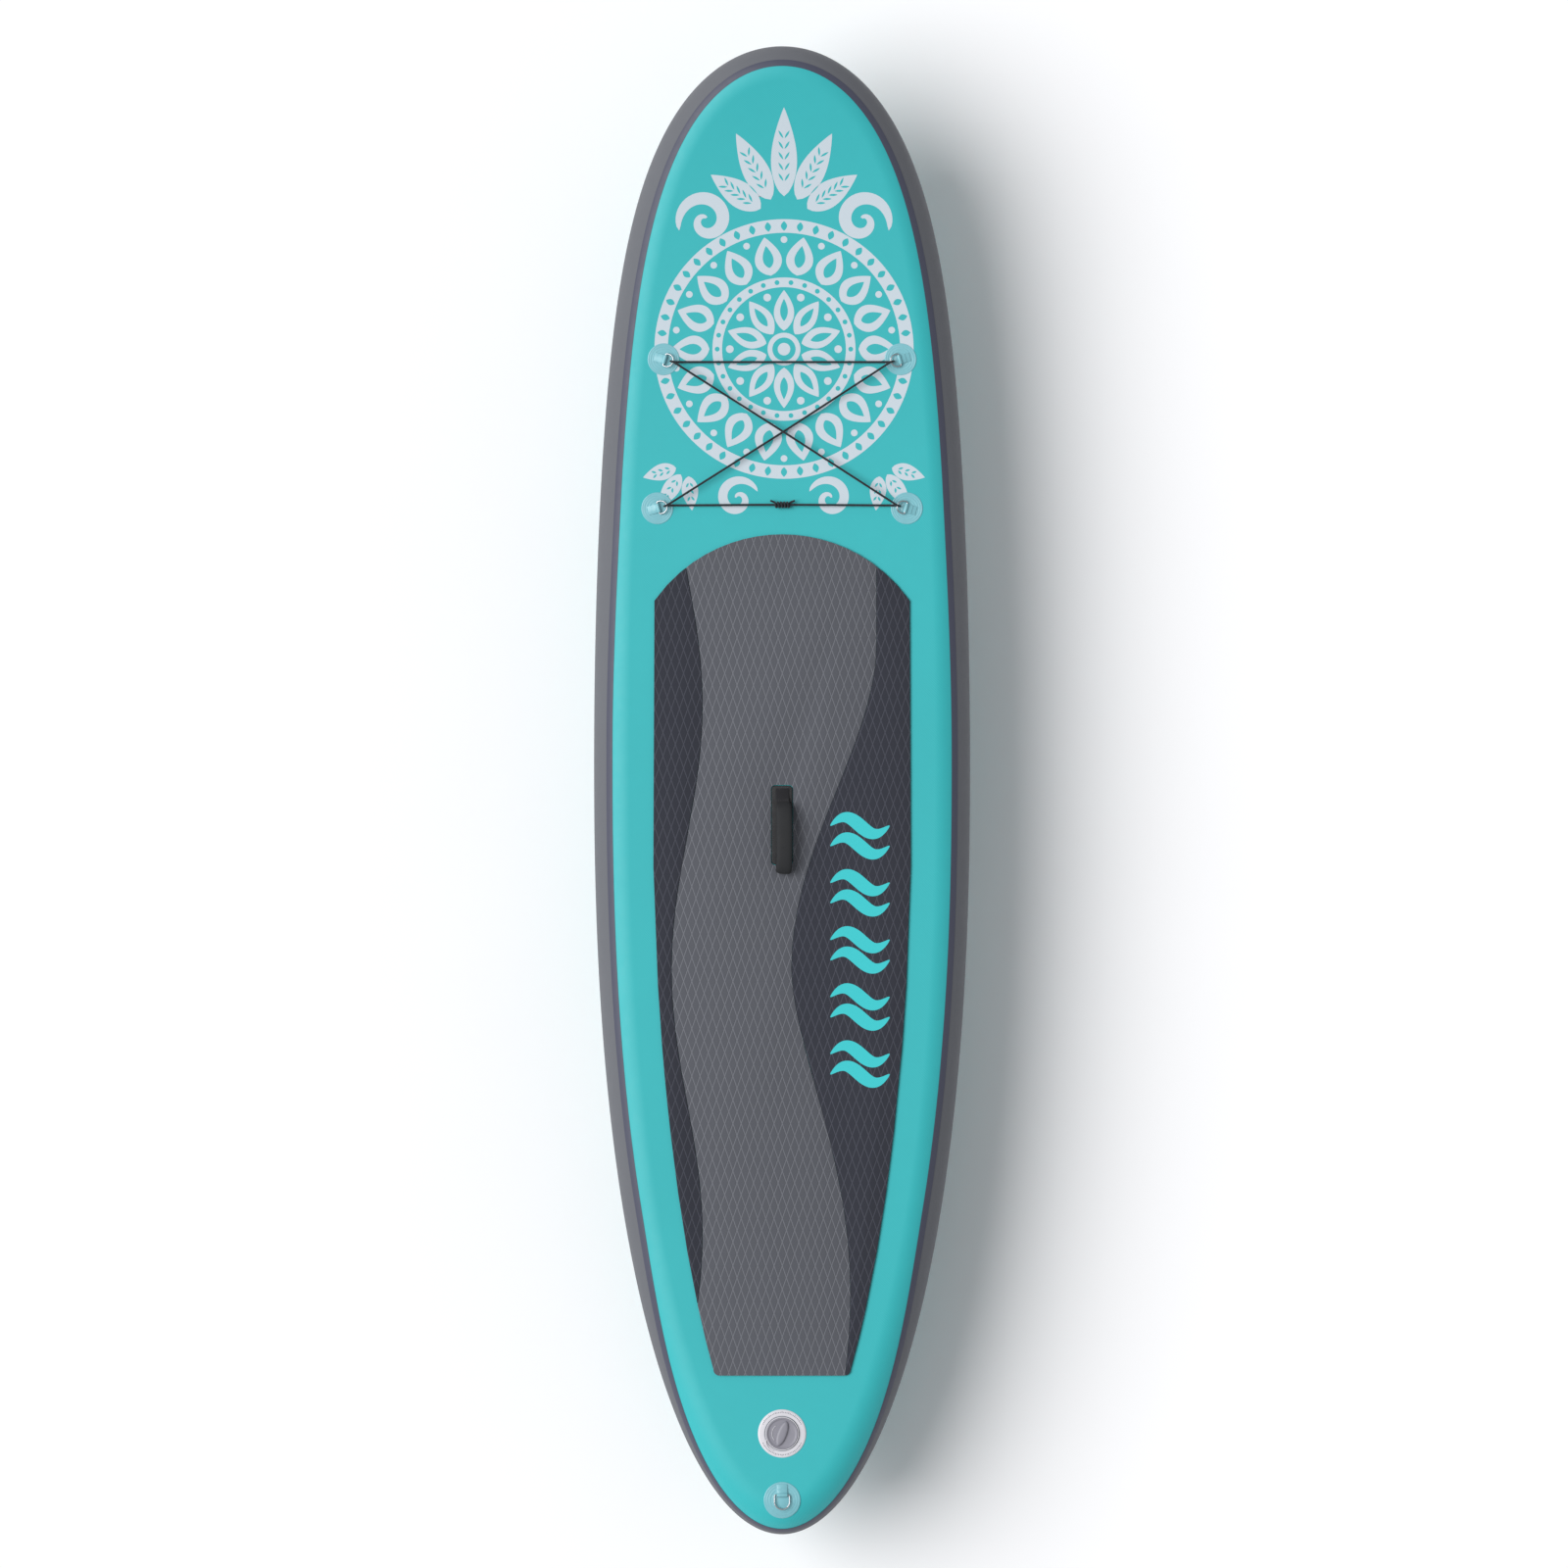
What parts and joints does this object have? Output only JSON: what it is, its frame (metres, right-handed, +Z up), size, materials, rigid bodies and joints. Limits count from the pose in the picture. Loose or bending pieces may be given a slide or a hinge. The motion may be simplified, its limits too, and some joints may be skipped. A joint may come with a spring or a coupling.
{
  "type": "inflatable stand up paddleboard",
  "caption": "Inflatable stand up paddleboard with foam deck pad, carry handle, nose bungee, inflation valve, leash ring and slide-in fins.",
  "frame": {"origin": "on the flat of the bottom, on the centreline, half way between nose tip and tail tip", "axes": "+Y from tail to nose along the board, +X to starboard, +Z up through the deck"},
  "size_m": [0.78, 3.08, 0.4368],
  "materials": {
    "deck_cloth": "satin",
    "bottom_cloth": "satin",
    "rail_cloth": "satin",
    "seam_tape": "satin",
    "yarn": "matte",
    "foam_light": "matte",
    "foam_dark": "matte",
    "black_cloth": "matte",
    "webbing": "matte",
    "neoprene": "matte",
    "white_plastic": "satin",
    "grey_plastic": "satin",
    "spring_steel": "satin",
    "seal_rubber": "matte",
    "patch_film": "satin",
    "ring_steel": "satin",
    "box_plastic": "satin",
    "fin_plastic": "satin",
    "label_film": "satin"
  },
  "bodies": {
    "board": {"deck_panel": "deck_cloth", "bottom_panel": "bottom_cloth", "rail_port": "rail_cloth", "rail_starboard": "rail_cloth", "seam_tape_deck": "seam_tape", "seam_tape_bottom": "seam_tape", "drop_stitch_yarns": "yarn", "deck_pad_wave": "foam_light", "deck_pad_port": "foam_dark", "deck_pad_starboard": "foam_dark", "handle_patch": "black_cloth", "handle_strap": "webbing", "valve_flange": "white_plastic", "valve_body": "grey_plastic", "valve_backing_ring": "grey_plastic", "valve_tether": "white_plastic", "ring_patch_port_front": "patch_film", "ring_tab_port_front": "patch_film", "ring_patch_port_rear": "patch_film", "ring_tab_port_rear": "patch_film", "ring_patch_starboard_front": "patch_film", "ring_tab_starboard_front": "patch_film", "ring_patch_starboard_rear": "patch_film", "ring_tab_starboard_rear": "patch_film", "bungee_cord": "webbing", "bungee_knot": "webbing", "leash_patch": "patch_film", "leash_tab": "patch_film", "fin_patch_centre": "patch_film", "fin_box_centre": "box_plastic", "fin_patch_port": "patch_film", "fin_box_port": "box_plastic", "fin_patch_starboard": "patch_film", "fin_box_starboard": "box_plastic", "bottom_label": "label_film"},
    "handle_grip": {"handle_grip": "neoprene"},
    "valve_spring": {"valve_spring": "spring_steel"},
    "valve_stem": {"valve_stem": "white_plastic", "valve_stem_seal": "seal_rubber"},
    "valve_cap_collar": {"valve_cap_collar": "white_plastic"},
    "valve_cap": {"valve_cap": "grey_plastic", "valve_cap_gasket": "seal_rubber"},
    "leash_ring": {"leash_ring": "ring_steel"},
    "nose_ring_port_front": {"ring_port_front": "ring_steel"},
    "nose_ring_port_rear": {"ring_port_rear": "ring_steel"},
    "nose_ring_starboard_front": {"ring_starboard_front": "ring_steel"},
    "nose_ring_starboard_rear": {"ring_starboard_rear": "ring_steel"},
    "fin_centre": {"fin_centre": "fin_plastic"},
    "fin_lock_centre": {"fin_lock_centre": "box_plastic", "pull_loop_centre": "webbing"},
    "fin_port": {"fin_port": "fin_plastic"},
    "fin_lock_port": {"fin_lock_port": "box_plastic", "pull_loop_port": "webbing"},
    "fin_starboard": {"fin_starboard": "fin_plastic"},
    "fin_lock_starboard": {"fin_lock_starboard": "box_plastic", "pull_loop_starboard": "webbing"}
  },
  "joints": [
    {"name": "nose_ring_port_front_play", "type": "hinge", "parent": "board", "child": "nose_ring_port_front", "pos_m": [-0.24308, 0.89335, 0.15695], "axis": [-0.2756, -0.9611, -0.0195], "range_deg": [-3, 6], "stiffness_Nm_per_rad": 0.05},
    {"name": "nose_ring_port_rear_play", "type": "hinge", "parent": "board", "child": "nose_ring_port_rear", "pos_m": [-0.25608, 0.58655, 0.1552], "axis": [0.2756, -0.9613, 0], "range_deg": [-3, 6], "stiffness_Nm_per_rad": 0.05},
    {"name": "nose_ring_starboard_front_play", "type": "hinge", "parent": "board", "child": "nose_ring_starboard_front", "pos_m": [0.24308, 0.89335, 0.15695], "axis": [-0.2756, 0.9611, 0.0195], "range_deg": [-3, 6], "stiffness_Nm_per_rad": 0.05},
    {"name": "nose_ring_starboard_rear_play", "type": "hinge", "parent": "board", "child": "nose_ring_starboard_rear", "pos_m": [0.25608, 0.58655, 0.1552], "axis": [0.2756, 0.9613, 0], "range_deg": [-3, 6], "stiffness_Nm_per_rad": 0.05},
    {"name": "leash_ring_swing", "type": "hinge", "parent": "board", "child": "leash_ring", "pos_m": [0, -1.454, 0.15545], "axis": [-1, 0, 0], "range_deg": [0, 150]},
    {"name": "handle_lift", "type": "slide", "parent": "board", "child": "handle_grip", "axis": [0, 0, 1], "range_m": [0, 0.018], "deforming": ["handle_strap"]},
    {"name": "valve_cap_lift", "type": "slide", "parent": "board", "child": "valve_cap_collar", "axis": [0, 0, 1], "range_m": [0, 0.03], "deforming": ["valve_tether"]},
    {"name": "valve_cap_turn", "type": "hinge", "parent": "valve_cap_collar", "child": "valve_cap", "pos_m": [0, -1.327, 0.155], "axis": [0, 0, 1], "range_deg": [-90, 90]},
    {"name": "valve_stem_turn", "type": "hinge", "parent": "board", "child": "valve_spring", "pos_m": [0, -1.327, 0.13], "axis": [0, 0, 1], "range_deg": [0, 90]},
    {"name": "valve_stem_push", "type": "slide", "parent": "valve_spring", "child": "valve_stem", "axis": [0, 0, -1], "range_m": [0, 0.007], "stiffness_N_per_m": 800, "springref_m": -0.002, "deforming": ["valve_spring"]},
    {"name": "fin_centre_slide", "type": "slide", "parent": "board", "child": "fin_centre", "axis": [0, -1, 0], "range_m": [0, 0.2]},
    {"name": "fin_lock_centre_pull", "type": "slide", "parent": "fin_centre", "child": "fin_lock_centre", "axis": [0, -1, 0], "range_m": [0, 0.045]},
    {"name": "fin_port_slide", "type": "slide", "parent": "board", "child": "fin_port", "axis": [-0.061, -0.9981, 0], "range_m": [0, 0.2]},
    {"name": "fin_lock_port_pull", "type": "slide", "parent": "fin_port", "child": "fin_lock_port", "axis": [-0.061, -0.9981, 0], "range_m": [0, 0.045]},
    {"name": "fin_starboard_slide", "type": "slide", "parent": "board", "child": "fin_starboard", "axis": [0.061, -0.9981, 0], "range_m": [0, 0.2]},
    {"name": "fin_lock_starboard_pull", "type": "slide", "parent": "fin_starboard", "child": "fin_lock_starboard", "axis": [0.061, -0.9981, 0], "range_m": [0, 0.045]}
  ]
}
